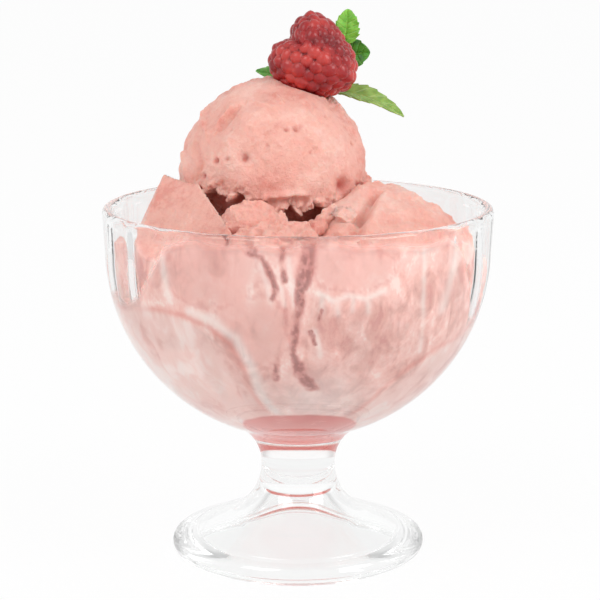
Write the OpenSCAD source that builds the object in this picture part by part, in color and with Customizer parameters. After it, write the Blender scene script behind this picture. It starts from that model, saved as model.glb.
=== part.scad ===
// Footed glass dessert bowl, served: pressed clear glass with a fluted inner wall, five lumps of
// ice cream, their melt in the bottom, a raspberry and a sprig of mint on top.
// Millimetres. +Z is up, the foot stands on Z = 0, the axis of the glass is Z, the front is -Y.

/* [Glass] */
// Diameter over the lip
rim_d = 112; // [108:1:120]
// Height of the glass, table to lip
glass_h = 103.5; // [98:0.5:112]
// Height of the near-straight band above the round of the bowl
band_h = 11.6; // [8:0.2:18]
// How much the band widens toward the lip, on the radius
band_flare = 0.6; // [0.2:0.1:1.5]
// Wall of the bowl
wall_t = 2.6; // [2.2:0.1:3.4]
// Glass left under the middle of the bowl
floor_t = 2.6; // [2.2:0.1:6]
// Rounding of the lip, inside and outside
lip_r = 1.3; // [0.8:0.1:1.4]
// Flutes pressed into the inner wall
flute_n = 22; // [16:1:24]
// Depth of a flute at the band
flute_depth = 0.7; // [0.3:0.05:1]
// Flat land left between two flutes
flute_land = 1.2; // [1:0.1:3]
// How fast the flutes fade toward the bottom
flute_fade = 3; // [1:0.2:6]
// Turn of the flutes about the axis
flute_turn = -44; // [-60:1:60]

/* [Stem and foot] */
// Diameter of the stem at its waist
stem_d = 21.4; // [18:0.2:26]
// Height of the waist above the table
waist_z = 27.5; // [25.5:0.1:29]
// Radius of the flare from the waist to the foot
flare_r = 15.5; // [13:0.1:17]
// Fall of the top of the foot, degrees
foot_fall = 22; // [16:1:24]
// Diameter of the foot
foot_d = 73.6; // [70:0.2:80]
// Rounding of the edge of the foot
foot_edge_r = 3; // [2.2:0.1:3.4]
// Outer diameter of the ring the foot stands on
ring_d = 63; // [61:0.5:66]
// Diameter of the mouth of the hollow under the foot
hollow_d = 57; // [50:0.5:59]
// Glass left over the hollow
foot_t = 5; // [4:0.1:6]
// Height of the flat top of the hollow
hollow_h = 19; // [15:0.5:21]

/* [Ice cream] */
// Diameter of the left lump
left_d = 61; // [56:0.5:64]
// Diameter of the right lump
right_d = 59; // [55:0.5:62]
// Diameter of the rear lump
rear_d = 54; // [48:0.5:56]
// Diameter of the small lump between left and right
middle_d = 34; // [30:0.5:36]
// Bearing of the left lump, from +X toward +Y
left_bearing = 228; // [222:1:232]
// Bearing of the right lump
right_bearing = 319; // [314:1:324]
// Bearing of the rear lump
rear_bearing = 95; // [90:1:100]
// Bearing of the small lump
middle_bearing = 259; // [256:1:263]
// Fall of the left lump below the middle of the bowl, degrees
left_fall = 2; // [0:1:8]
// Fall of the right lump
right_fall = 20; // [15:1:25]
// Fall of the rear lump
rear_fall = 20; // [15:1:26]
// Fall of the small lump
middle_fall = 5; // [2:1:14]
// How far the large lumps are pressed out of round against the wall
press = 7; // [5:0.1:8]
// How far the small lump is pressed against the wall
middle_press = 4; // [2:0.1:5]
// How much the front lumps are squeezed out sideways below, as a share of the radius
squeeze = 0.35; // [0:0.05:0.4]
// From the middle of the left lump to its face, sliced flat by the scoop
left_face = 19.3; // [16:0.1:24]
// From the middle of the left lump up to the bottom of the cleft beside that face
left_cleft = 9.5; // [6:0.1:14]
// Diameter of the dome of the top lump
top_d = 53; // [48:0.5:55]
// Middle of the top lump, to the right of the axis
top_x = -7; // [-9:0.5:-4]
// Middle of the top lump, above the table
top_z = 113.5; // [112:0.5:116]
// Extra radius of the top lump below its skirt
skirt = 1.6; // [1:0.1:2]
// Depth of the recess below the ragged hem of the top lump
hem_tuck = 5; // [3:0.5:6]
// Roughness of the lumps, as a share of the radius
rough = 0.035; // [0.01:0.005:0.06]
// Gap between lumps
lump_gap = 0.25; // [0.15:0.05:0.5]

/* [Melt] */
// Depth of the pool in the bottom
pool_depth = 2.2; // [1.5:0.1:4]
// Thickness of the coat up the wall
coat_t = 0.6; // [0.4:0.05:1]
// How far the coat reaches up the wall, degrees from the bottom
coat_reach = 66; // [55:1:72]
// Gap between the coat and the glass
coat_gap = 0.25; // [0.2:0.05:0.3]
// Gap between the coat and the lumps
rest_gap = 0.35; // [0.3:0.05:0.5]

/* [Raspberry] */
// Diameter over the drupelets
berry_d = 25; // [22:0.5:26]
// Diameter of one drupelet
drupelet_d = 5.8; // [5:0.1:6.4]
// Middle of the raspberry, to the right of the top lump
berry_x = 11.2; // [9:0.1:12]
// Middle of the raspberry, above the middle of the top lump
berry_z = 32.6; // [31.5:0.1:34]
// Hollow in the end of the raspberry, diameter
berry_hole_d = 8; // [5:0.5:9]

/* [Mint] */
// Diameter of the stem
sprig_d = 1.5; // [1.2:0.1:2]
// Thickness of a leaf
leaf_t = 0.45; // [0.35:0.05:0.7]
// Length of the long leaf at the right
right_leaf = 27; // [22:0.5:30]
// Length of the leaf at the left
left_leaf = 16.5; // [13:0.5:18]
// Length of the leaf standing up
top_leaf = 10.5; // [9:0.5:13]
// Length of the leaf at the side
side_leaf = 10.5; // [8:0.5:12]
// Width of the long leaf at the right
right_leaf_w = 8.5; // [6:0.5:10]
// Width of the leaf at the left
left_leaf_w = 5.5; // [4:0.5:6]
// Width of the leaf standing up
top_leaf_w = 7; // [5:0.5:8]
// Width of the leaf at the side
side_leaf_w = 8; // [5:0.5:9]
// Teeth along one edge of a leaf
teeth = 5; // [3:1:7]

/* [Hidden] */
$fn = 120;
rim_r = rim_d / 2;
bowl_r = rim_r - band_flare;
bowl_z = glass_h - band_h;
in_r = bowl_r - wall_t;
in_z = bowl_z + floor_t - wall_t;
stem_r = stem_d / 2;
foot_r = foot_d / 2;
ring_r = ring_d / 2;
hollow_r = hollow_d / 2;

// Throat: the fillet that leaves the bowl and meets the stem at its waist
throat_r = (pow(bowl_z - waist_z, 2) - pow(bowl_r, 2) + pow(stem_r, 2)) / (2 * (bowl_r - stem_r));
throat_c = [stem_r + throat_r, waist_z];
throat_top = [0, bowl_z] + unit(throat_c - [0, bowl_z]) * bowl_r;

// Flare: the arc below the waist, then the straight fall of the foot down to its round edge
flare_c = [stem_r + flare_r, waist_z];
flare_end = flare_c - flare_r * [sin(foot_fall), cos(foot_fall)];
edge_x = foot_r - foot_edge_r;
edge_top_x = edge_x + foot_edge_r * sin(foot_fall);
edge_top = [edge_top_x, flare_end.y - (edge_top_x - flare_end.x) * tan(foot_fall)];
edge_c = edge_top - foot_edge_r * [sin(foot_fall), cos(foot_fall)];
ring_v = [ring_r, 0] - edge_c;
edge_low_a = atan2(ring_v.y, ring_v.x) + acos(foot_edge_r / norm(ring_v));
edge_low = edge_c + foot_edge_r * [cos(edge_low_a), sin(edge_low_a)];

// Hollow under the foot, parallel to the flare and to the fall
hollow_end = flare_c - (flare_r + foot_t) * [sin(foot_fall), cos(foot_fall)];
hollow_edge = [hollow_r, hollow_end.y - (hollow_r - hollow_end.x) * tan(foot_fall)];

// Lumps: [middle, radius]
bowl_c = [0, 0, in_z];
rest_r = in_r - coat_gap - coat_t - rest_gap;
left = [lump_at(left_bearing, left_d / 2 - press, left_fall), left_d / 2];
right = [lump_at(right_bearing, right_d / 2 - press, right_fall), right_d / 2];
rear = [lump_at(rear_bearing, rear_d / 2 - press, rear_fall), rear_d / 2];
middle = [lump_at(middle_bearing, middle_d / 2 - middle_press, middle_fall), middle_d / 2];
face_n = unit([-0.506, -0.614, 0.606]);
cleft_n = unit([0.742, 0.244, 0.276]);
top = [[top_x, -2, top_z], top_d / 2];
nest_r = top_d / 2 + skirt;
// Where the dome of the top lump tears off: [bearing, degrees above its middle]
hem_line = [[0, -6], [60, -14], [120, -9], [180, -12], [223, -2], [244, -4], [258, -8], [268, -14],
            [285, -14], [297, -10], [318, -14], [331, -8], [348, -6], [360, -6]];

// Raspberry: its middle, the way from its hollow end to its tip, and the ring of each drupelet
berry_c = top[0] + [berry_x, 1, berry_z];
berry_axis = unit([0.55, -0.62, -0.5]);
berry_side = unit(cross(berry_axis, [0, 0, 1]));
berry_up = cross(berry_side, berry_axis);
// Heart shape seen from the front: [angle from +X toward +Z, share of the radius]
heart = [[0, 0.97], [27, 0.84], [60, 0.92], [93, 1.03], [120, 0.9], [143, 0.7], [163, 0.94], [188, 1.03],
         [227, 0.99], [251, 0.99], [281, 0.96], [305, 1.01], [327, 1.13], [347, 1.03], [360, 0.97]];
drupelet_r = drupelet_d / 2;
core_r = berry_d / 2 - drupelet_r;
ring_el = [-52, -27, -3, 20, 42, 63, 88];
drupelets = [for (k = [0 : len(ring_el) - 1])
    let (n = max(1, round(2 * PI * core_r * cos(ring_el[k]) / (0.84 * drupelet_d))))
    for (j = [0 : n - 1])
        core_r * berry_dir(360 * (j + (k % 2) / 2) / n + 9 * sin(k * 77), ring_el[k])];

// Mint: the sprig stands behind the raspberry
sprig_foot = unit([berry_x, 0.448 * berry_d, berry_z - 0.412 * berry_d]);
sprig = [top[0] + sprig_foot * (top_reach(sprig_foot) + sprig_d / 2 + 0.1),
         berry_c + berry_d * [0.12, 0.608, -0.14], berry_c + berry_d * [0.36, 0.452, 0.104]];

function unit(v) = v / norm(v);
function heading(az, el) = [cos(el) * cos(az), cos(el) * sin(az), sin(el)];
function lump_at(az, r, fall) = bowl_c + (rest_r - r) * heading(az, -fall);
function berry_dir(az, el) = let (h = heading(az, el))
    h.x * berry_side + h.y * berry_up + h.z * berry_axis;

// Distances along a ray from point p in direction d
function to_ball(p, d, c, r) = let (b = (c - p) * d, q = b * b - (c - p) * (c - p) + r * r)
    (b > 0 && q > 0) ? b - sqrt(q) : 1000;
function to_shell(p, d, c, r) = let (b = (c - p) * d) b + sqrt(max(0, b * b - (c - p) * (c - p) + r * r));
function to_tube(p, d, r) = let (a = d.x * d.x + d.y * d.y, b = p.x * d.x + p.y * d.y)
    a < 0.0001 ? 1000 : (-b + sqrt(max(0, b * b - a * (p.x * p.x + p.y * p.y - r * r)))) / a;
function to_wall(p, d) = let (t = to_shell(p, d, bowl_c, rest_r))
    p.z + t * d.z > in_z ? to_tube(p, d, rest_r) : t;
function to_mate(a, b, d) = let (v = b[0] - a[0], n = norm(v), side = (v / n) * d,
    gap = min(0.85 * n, max(0.15 * n, (n * n + a[1] * a[1] - b[1] * b[1]) / (2 * n))) - lump_gap / 2)
    side > 0.01 ? gap / side : 1000;
function to_face(d, n, reach) = d * n > 0.01 ? reach / (d * n) : 1000;

// Uneven skin, from -1 to 1, in waves about 'size' long
function skin(p, size) = let (k = 360 / size)
    (sin(k * p.x + 60 * sin(0.7 * k * p.y)) + sin(k * 0.9 * p.y + 70 * sin(0.8 * k * p.z) + 70)
    + sin(k * 1.1 * p.z + 65 * sin(0.6 * k * p.x) + 150)) / 3;
function lump_skin(r, d, seed) = r * (1 + rough * (0.75 * skin(r * d + seed * [31, 17, 5], 23)
    + 0.4 * skin(r * d + seed * [7, 41, 13], 9.5)) - rough);

// Radius of a lump squeezed out toward the wall and downward, by 'out' of its radius
function squeezed(a, d, out) = let (o = unit([a[0].x, a[0].y, 0]))
    a[1] * 1.03 * (1 + out * max(0, min(1, (0.45 - d.z) / 0.6)) * max(0, min(1, o * d + 0.3)));
// A lump in the bowl stops at its own skin, the wall, its neighbours and the top lump
function lump_reach(a, others, d, seed, out) = min(concat(
    [lump_skin(squeezed(a, d, out), d, seed), to_wall(a[0], d), to_ball(a[0], d, top[0], nest_r + lump_gap)],
    [for (b = others) to_mate(a, b, d)]));
// The left lump is sliced flat on top, and falls from the edge of that face into a cleft
function left_reach(d) = min(to_face(d, face_n, left_face), to_face(d, [0.2, -0.1, 0.97], left_cleft)
    + left_d * max(0, 0.5 - 2.5 * max(0, d * cleft_n)));
// The top lump: a smooth dome, a ragged skirt below it, a nest among the others, a seat for the berry
function top_reach(d) = let (
    el = asin(d.z), az = atan2(d.y, d.x),
    rag = 1.7 * sin(az * 13 + 40) + 1.5 * sin(az * 23 + 110),
    dome = lump_skin(top[1] * 1.02, d, 3),
    from = el - lookup((az + 360) % 360, hem_line) - rag,
    hem = from > -9 ? nest_r - 0.5 - 0.5 * skin(30 * d, 7)
        : from > -38 ? nest_r - hem_tuck : nest_r - 0.2 - 0.2 * skin(30 * d, 9))
    min(from > 0 ? dome : hem, to_ball(top[0], d, berry_c, berry_d / 2 + 0.1));
// The raspberry: the farthest drupelet along each way, hollowed at its end
function berry_reach(d) = let (
    skin_r = max([for (c = drupelets) let (b = c * d, q = b * b - c * c + drupelet_r * drupelet_r)
        q > 0 ? b + sqrt(q) : 0]),
    off = acos(min(1, max(-1, -(d * berry_axis)))),
    hole = atan(berry_hole_d / 2 / core_r))
    off < hole ? 3.5 : off < hole + 9 ? min(max(skin_r, core_r), core_r) : max(skin_r, core_r);

function berry_point(d) = let (flat = norm([d.x, d.z]), r = berry_reach(d),
    k = 1 + (lookup((atan2(d.z, d.x) + 360) % 360, heart) - 1) * min(1, 2 * flat))
    berry_c + r * [k * d.x, d.y, k * d.z];

// Faces of a closed skin of m rings of n points, first and last ring capped by one point each
function globe_faces(n, m) = concat(
    [for (i = [0 : m - 2], j = [0 : n - 1]) let (k = (j + 1) % n) [i * n + j, (i + 1) * n + k, i * n + k]],
    [for (i = [0 : m - 2], j = [0 : n - 1]) let (k = (j + 1) % n) [i * n + j, (i + 1) * n + j, (i + 1) * n + k]],
    [for (j = [0 : n - 1]) [j, (j + 1) % n, m * n]],
    [for (j = [0 : n - 1]) [(m - 1) * n + (j + 1) % n, (m - 1) * n + j, m * n + 1]]);
function globe_dirs(n, m) = concat(
    [for (i = [1 : m], j = [0 : n - 1]) heading(360 * j / n, -90 + 180 * i / (m + 1))],
    [[0, 0, -1], [0, 0, 1]]);

module lump(a, others, seed, out, n = 36, m = 17) {
    polyhedron([for (d = globe_dirs(n, m)) a[0] + d * lump_reach(a, others, d, seed, out)], globe_faces(n, m));
}

// A pie slice of a disc, and what is left of a shape outside a disc
module sector(c, r, a0, a1) {
    am = (a0 + a1) / 2;
    intersection() {
        translate(c) circle(r);
        polygon([c, c + 2 * r * [cos(a0), sin(a0)], c + 2 * r * [cos(am), sin(am)],
                 c + 2 * r * [cos(a1), sin(a1)]]);
    }
}

// Half section of the glass before the bowl and the hollow are taken out
module glass_section() {
    // lip and band
    translate([0, glass_h - lip_r]) square([rim_r - lip_r, lip_r]);
    sector([rim_r - lip_r, glass_h - lip_r], lip_r, 0, 90);
    polygon([[0, bowl_z], [bowl_r, bowl_z], [rim_r, glass_h - lip_r], [0, glass_h - lip_r]]);
    // round of the bowl
    intersection() {
        translate([0, bowl_z]) circle(bowl_r);
        translate([0, throat_top.y]) square([bowl_r + 1, bowl_z - throat_top.y]);
    }
    // throat
    difference() {
        polygon([[0, waist_z], throat_c, throat_top, [0, throat_top.y]]);
        translate(throat_c) circle(throat_r);
    }
    // flare
    difference() {
        polygon([[0, flare_end.y], flare_end, flare_c, [0, waist_z]]);
        translate(flare_c) circle(flare_r);
    }
    // foot
    polygon([[0, 0], [ring_r, 0], edge_low, edge_c, edge_top, flare_end, [0, flare_end.y]]);
    sector(edge_c, foot_edge_r, edge_low_a, 90 - foot_fall);
}

// Half section of the hollow under the foot
module hollow_section() {
    intersection() {
        difference() {
            polygon([[0, -1], [hollow_r + 0.7, -1], hollow_edge, hollow_end, flare_c, [0, waist_z]]);
            translate(flare_c) circle(flare_r + foot_t);
        }
        translate([0, -2]) square([foot_r, hollow_h + 2]);
    }
}

// The inside of the bowl: a round bottom and a straight mouth, with the flutes pressed out of it
module bowl_room() {
    across = [-1, -0.5, 0, 0.5, 1];
    falls = [78, 68, 58, 49, 40, 31, 22, 13, 5];
    lips = [0, 0.5, 0.87, 1];
    half_a = 180 / flute_n * (1 - flute_land / (2 * PI * in_r / flute_n));
    n = flute_n * len(across);
    function az(j) = flute_turn + 360 / flute_n * floor(j / len(across)) + half_a * across[j % len(across)];
    function press_in(j) = flute_depth * (1 - pow(across[j % len(across)], 2));
    rings = concat(
        [for (a = falls, j = [0 : n - 1])
            bowl_c + (in_r + press_in(j) * pow(cos(a), flute_fade)) * heading(az(j), -a)],
        [for (t = lips, j = [0 : n - 1])
            let (r = in_r + max(press_in(j), lip_r * (1 - sqrt(1 - t * t))))
            [r * cos(az(j)), r * sin(az(j)), glass_h - lip_r * (1 - t)]],
        [for (j = [0 : n - 1]) (in_r + lip_r) * heading(az(j), 0) + [0, 0, glass_h + 2]]);
    polyhedron(concat(rings, [bowl_c - [0, 0, in_r], [0, 0, glass_h + 2]]),
        globe_faces(n, len(falls) + len(lips) + 1));
}

module glass_bowl() {
    color([0.86, 0.9, 0.9, 0.5])
    difference() {
        rotate_extrude() glass_section();
        rotate_extrude() hollow_section();
        bowl_room();
    }
}

// Pool and coat in one skin: out along the glass, over the ragged top edge, back along the inside
module melt() {
    n = 44;
    m = 8;
    out_r = in_r - coat_gap;
    pool_z = in_z - out_r + pool_depth;
    function edge(az) = coat_reach + 3 * sin(az * 3 + 20) + 2 * sin(az * 8) + 1.5 * sin(az * 13 + 50);
    function ring(az, s, r) = let (a = edge(az) * s)
        bowl_c + min(r, r < out_r ? (in_z - pool_z) / cos(a) : r) * heading(az, a - 90);
    color([0.87, 0.55, 0.5])
    polyhedron(concat(
        [for (i = [1 : m], j = [0 : n - 1]) ring(360 * j / n, i / m, out_r)],
        [for (i = [1 : m], j = [0 : n - 1]) ring(360 * j / n, 1.006 - i / m, out_r - coat_t)],
        [bowl_c - [0, 0, out_r], [0, 0, pool_z]]),
        globe_faces(n, 2 * m));
}

module scoop_left() {
    n = 42;
    m = 20;
    color([0.95, 0.72, 0.66])
    polyhedron([for (d = globe_dirs(n, m))
        left[0] + d * min(left_reach(d), lump_reach(left, [right, rear, middle], d, 1, squeeze))],
        globe_faces(n, m));
}

module scoop_right() {
    color([0.95, 0.72, 0.66]) lump(right, [left, rear, middle], 2, squeeze);
}

module scoop_rear() {
    color([0.94, 0.7, 0.64]) lump(rear, [left, right, middle], 4, 0);
}

module scoop_middle() {
    color([0.93, 0.68, 0.62]) lump(middle, [left, right, rear], 5, squeeze, 28, 13);
}

module scoop_top() {
    n = 52;
    m = 23;
    color([0.96, 0.74, 0.68])
    polyhedron([for (d = globe_dirs(n, m)) top[0] + d * top_reach(d)], globe_faces(n, m));
}

module raspberry() {
    n = 44;
    m = 25;
    color([0.7, 0.12, 0.18])
    polyhedron([for (h = globe_dirs(n, m))
        berry_point(h.x * berry_side + h.y * berry_up + h.z * berry_axis)],
        globe_faces(n, m));
}

// Points along the bent stem
function bend(p, t) = (1 - t) * (1 - t) * p[0] + 2 * t * (1 - t) * p[1] + t * t * p[2];

module mint_stem() {
    n = 8;
    m = 8;
    rings = [for (i = [0 : m - 1]) let (t = i / (m - 1),
        c = bend(sprig, t), f = unit(bend(sprig, t + 0.01) - bend(sprig, t - 0.01)),
        s = unit(cross(f, [0, 1, 0])), u = cross(s, f))
        for (j = [0 : n - 1]) c + sprig_d / 2 * (1 - 0.3 * t) * (cos(360 * j / n) * s + sin(360 * j / n) * u)];
    color([0.45, 0.6, 0.25])
    polyhedron(concat(rings, [bend(sprig, -0.01), bend(sprig, 1.01)]), globe_faces(n, m));
}

// A toothed leaf: from its root along 'way', face up along 'face', curling down toward its tip
module leaf(root, way, face, length, width, curl) {
    m = 11;
    f = unit(way);
    s = unit(cross(f, face));
    u = cross(s, f);
    function half(t) = max(0.3, width / 2 * pow(sin(180 * pow(t, 0.75)), 0.8)
        * (0.88 + 0.24 * (t * teeth - floor(t * teeth))));
    function row(t, v, side) = root + f * length * t * (1 - 0.05 * t) + s * v * half(t)
        + u * (curl * (0.6 * t - 1.6 * t * t) + 0.28 * abs(v) * half(t) + side * leaf_t / 2);
    rim = [[-1, 1], [-0.5, 1], [0, 1], [0.5, 1], [1, 1], [1, -1], [0.5, -1], [0, -1], [-0.5, -1], [-1, -1]];
    points = concat([for (i = [0 : m - 1], p = rim) row(0.985 * i / (m - 1), p[0], p[1])],
        [row(0, 0, 0) - f * 0.02, row(1, 0, 0)]);
    polyhedron(points, globe_faces(len(rim), m));
}

module mint_leaf_top() {
    color([0.36, 0.68, 0.2])
        leaf(bend(sprig, 1) + sprig_d * [0.07, -0.07, 0.17], [0.12, -0.12, 1], [0.2, -1, 0],
            top_leaf, top_leaf_w, 0.076 * top_leaf);
}

module mint_leaf_side() {
    color([0.2, 0.48, 0.12])
        leaf(bend(sprig, 0.78) + sprig_d * [0.4, 0.73, -0.133], [0.8, -0.22, 0.3], [0.1, -1, 0.25],
            side_leaf, side_leaf_w, 0.057 * side_leaf);
}

module mint_leaf_left() {
    color([0.4, 0.66, 0.25])
        leaf(sprig[0] + sprig_d * [-0.67, 0, 0.27], [-1, 0, 0.27], [0.1, 0.25, 1],
            left_leaf, left_leaf_w, 0.024 * left_leaf);
}

module mint_leaf_right() {
    color([0.5, 0.66, 0.3])
        leaf(sprig[0] + sprig_d * [0.67, 0, 0.13], [1, -0.33, 0.02], [0, -0.7, 1],
            right_leaf, right_leaf_w, 0.24 * right_leaf);
}

glass_bowl();
melt();
scoop_left();
scoop_right();
scoop_rear();
scoop_middle();
scoop_top();
raspberry();
mint_stem();
mint_leaf_top();
mint_leaf_side();
mint_leaf_left();
mint_leaf_right();
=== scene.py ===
import math
import random

import bpy
import numpy as np
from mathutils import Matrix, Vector, noise


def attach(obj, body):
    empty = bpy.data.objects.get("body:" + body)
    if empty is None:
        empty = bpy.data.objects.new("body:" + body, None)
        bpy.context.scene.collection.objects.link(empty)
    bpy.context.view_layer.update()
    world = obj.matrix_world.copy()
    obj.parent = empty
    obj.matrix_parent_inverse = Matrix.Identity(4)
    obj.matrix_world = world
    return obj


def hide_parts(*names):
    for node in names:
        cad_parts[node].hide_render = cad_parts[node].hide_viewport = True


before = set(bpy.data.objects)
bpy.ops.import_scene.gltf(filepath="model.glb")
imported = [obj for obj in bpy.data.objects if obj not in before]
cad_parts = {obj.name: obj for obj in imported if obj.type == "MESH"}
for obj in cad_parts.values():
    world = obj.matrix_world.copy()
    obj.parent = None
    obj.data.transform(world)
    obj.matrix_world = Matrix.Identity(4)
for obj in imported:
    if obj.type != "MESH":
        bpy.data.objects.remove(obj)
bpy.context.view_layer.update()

# Camera: a long lens a little above the rim, looking down on the dessert from the front. Light passes
# many walls of glass and film on its way through the bowl, so it may bounce more often than usual.
MM = 0.001
EYE = np.array([0.57, -620, 200.57])
VIEW_DOWN = math.radians(11.37)
LENS, SENSOR = 131.3, 36
BOUNCES, GLOSSY_BOUNCES = 32, 16
bpy.ops.object.select_all(action="DESELECT")
bpy.ops.object.camera_add(location=tuple(EYE * MM), rotation=(math.pi / 2 - VIEW_DOWN, 0, 0))
camera = bpy.context.object
camera.data.lens = LENS
camera.data.sensor_width = SENSOR
bpy.context.scene.camera = camera
bpy.context.scene.view_settings.view_transform = "Standard"
bpy.context.scene.cycles.max_bounces = BOUNCES
bpy.context.scene.cycles.transmission_bounces = BOUNCES
bpy.context.scene.cycles.glossy_bounces = GLOSSY_BOUNCES

# Studio: a pale floor that keeps the shadow, a white tent with soft grey seams that the glass
# shows, a soft key lamp from the upper left and a weak fill from the right.
WHITE = (1, 1, 1, 1)
TENT_LIGHT = (0.655, 0.655, 0.658, 1)
TENT_SEAMS = [(0.0, 1.0), (0.17, 1.0), (0.30, 0.72), (0.40, 0.96), (0.52, 0.84), (0.62, 1.0),
              (0.74, 0.74), (0.84, 1.0), (1.0, 0.9)]
TENT_ROOF = [(0.0, 1.0), (0.35, 1.0), (0.7, 0.8), (1.0, 0.95)]
FLOOR_SIZE, FLOOR_DROP = 8, 0.2
FLOOR_PAPER = (0.9, 0.9, 0.9, 1)
FLOOR_GLOW, LESS_DIRECT, LESS_THROUGH = 1.2, 0.2, 0.27
GLOW_SEEN, GLOW_ELSEWHERE = 0.94, 0.92
LAMP_AIM = (0, 0, 0.1)


def paint(r, g, b):
    def linear(c):
        c = c / 255
        return c / 12.92 if c <= 0.04045 else ((c + 0.055) / 1.055) ** 2.4
    return (linear(r), linear(g), linear(b), 1)


def cleared(holder):
    holder.use_nodes = True
    holder.node_tree.nodes.clear()
    return holder.node_tree


def add(tree, kind, **settings):
    made = tree.nodes.new(kind)
    for key, value in settings.items():
        setattr(made, key, value)
    return made


def put(tree, socket, value):
    if isinstance(value, bpy.types.NodeSocket):
        tree.links.new(value, socket)
    else:
        socket.default_value = value


def wired(tree, kind, values):
    made = add(tree, kind)
    for name, value in values.items():
        put(tree, made.inputs[name], value)
    return made.outputs[0]


def maths(tree, operation, *values):
    made = add(tree, "ShaderNodeMath", operation=operation)
    for socket, value in zip(made.inputs, values):
        put(tree, socket, value)
    return made.outputs[0]


def summed(tree, total, *parts):
    for value, share in parts:
        total = maths(tree, "MULTIPLY_ADD", value, share, total)
    return total


def blend_colours(tree, share, first, second, kind="MIX"):
    made = add(tree, "ShaderNodeMix", data_type="RGBA", blend_type=kind)
    put(tree, made.inputs[0], share)
    put(tree, made.inputs[6], first)
    put(tree, made.inputs[7], second)
    return made.outputs[2]


def ramp(tree, share, stops):
    made = add(tree, "ShaderNodeValToRGB")
    made.color_ramp.interpolation = "EASE"
    while len(made.color_ramp.elements) < len(stops):
        made.color_ramp.elements.new(0.5)
    for element, (at, colour) in zip(made.color_ramp.elements, stops):
        element.position = at
        element.color = colour if isinstance(colour, tuple) else (colour, colour, colour, 1)
    put(tree, made.inputs[0], share)
    return made.outputs[0]


def between(tree, share, first, second):
    made = add(tree, "ShaderNodeMixShader")
    for socket, value in zip(made.inputs, (share, first, second)):
        put(tree, socket, value)
    return made.outputs[0]


def shown(tree, shader, kind="Material"):
    put(tree, add(tree, "ShaderNodeOutput" + kind).inputs[0], shader)


def place_in(tree, kind):
    return add(tree, "ShaderNodeTexCoord").outputs[kind]


def seen_rays(tree):
    path = add(tree, "ShaderNodeLightPath")
    through = maths(tree, "MAXIMUM", path.outputs["Is Glossy Ray"], path.outputs["Is Transmission Ray"])
    return path.outputs["Is Camera Ray"], through


tent = bpy.data.worlds.new("tent")
bpy.context.scene.world = tent
tree = cleared(tent)
direct, through = seen_rays(tree)
way = add(tree, "ShaderNodeSeparateXYZ")
put(tree, way.inputs[0], place_in(tree, "Generated"))
turn = maths(tree, "ABSOLUTE", maths(tree, "ARCTAN2", way.outputs[0], way.outputs[1]))
seams = ramp(tree, maths(tree, "DIVIDE", turn, math.pi), TENT_SEAMS)
cloth = blend_colours(tree, 1.0, seams, ramp(tree, way.outputs[2], TENT_ROOF), "MULTIPLY")
shade = blend_colours(tree, through, TENT_LIGHT, cloth)
backdrop = wired(tree, "ShaderNodeBackground", {"Color": blend_colours(tree, direct, shade, WHITE)})
shown(tree, backdrop, "World")

bpy.ops.object.select_all(action="DESELECT")
bpy.ops.mesh.primitive_plane_add(size=FLOOR_SIZE, location=(0, 0, -FLOOR_DROP * MM))
floor = bpy.context.object
floor.name = "floor"
floor_paper = bpy.data.materials.new("floor_paper")
tree = cleared(floor_paper)
direct, through = seen_rays(tree)
paper = wired(tree, "ShaderNodeBsdfDiffuse", {"Color": FLOOR_PAPER})
strength = summed(tree, FLOOR_GLOW, (direct, -LESS_DIRECT), (through, -LESS_THROUGH))
glow = wired(tree, "ShaderNodeEmission", {"Strength": strength})
seen = maths(tree, "MULTIPLY", maths(tree, "MAXIMUM", direct, through), GLOW_SEEN)
shown(tree, between(tree, maths(tree, "MAXIMUM", seen, GLOW_ELSEWHERE), paper, glow))
floor.data.materials.append(floor_paper)


def lamp(name, place, size, power):
    bpy.ops.object.select_all(action="DESELECT")
    bpy.ops.object.light_add(type="AREA", location=place)
    made = bpy.context.object
    made.name = name
    made.rotation_euler = (Vector(LAMP_AIM) - Vector(place)).to_track_quat("-Z", "Y").to_euler()
    made.data.size = size
    made.data.energy = power


lamp("key", (-0.75, -0.85, 1.15), size=0.8, power=7.2)
lamp("fill", (0.95, -0.55, 0.75), size=0.6, power=6.2)

# Glass bowl: one piece of clear pressed glass, foot, stem and bowl together, with flutes pressed
# into the inside of the wall and a hollow under the foot. Its section is drawn and spun round.
FLUTES, STEPS_A_FLUTE = 22, 12
FLUTE_DEPTH = 0.7
FLUTE_LAND = 1.2
FLUTE_TURN = -44.0
FLUTE_FADE_LOW, FLUTE_FADE_HIGH = 3, 0.6
FLUTE_FLOOR_Z = 38
RIM_R, RIM_Z, LIP_DROP, LIP_ROUND = 56.0, 103.5, 1.3, 1.55
BOWL_R, BOWL_Z = 55.4, 91.9
INNER_R, INNER_Z = 52.8, 91.9
STEM_R, WAIST_Z = 10.7, 27.5
FLARE_R, FALL = 15.5, math.radians(22)
FOOT_R, FOOT_EDGE_R, FOOT_T = 36.8, 3.0, 5.0
RING_R, HOLLOW_R, HOLLOW_Z = 31.5, 28.5, 19.0
RING_STEP = 0.6
RING_EASE, STEP_EASE, HOLLOW_EASE, DOME_EASE = 0.8, 0.9, 1.2, 2.0
BOWL_MIDDLE = np.array([0, 0, INNER_Z])
GLASS_TINT, SHADOW_TINT = (0.985, 0.99, 0.988, 1), (0.93, 0.94, 0.94, 1)


def arc(middle, radius, start, end, count):
    return [(middle[0] + radius * math.cos(a), middle[1] + radius * math.sin(a))
            for a in np.linspace(start, end, count)]


def line(start, end, count):
    return [(start[0] + (end[0] - start[0]) * t, start[1] + (end[1] - start[1]) * t)
            for t in np.linspace(0, 1, count)]


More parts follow.
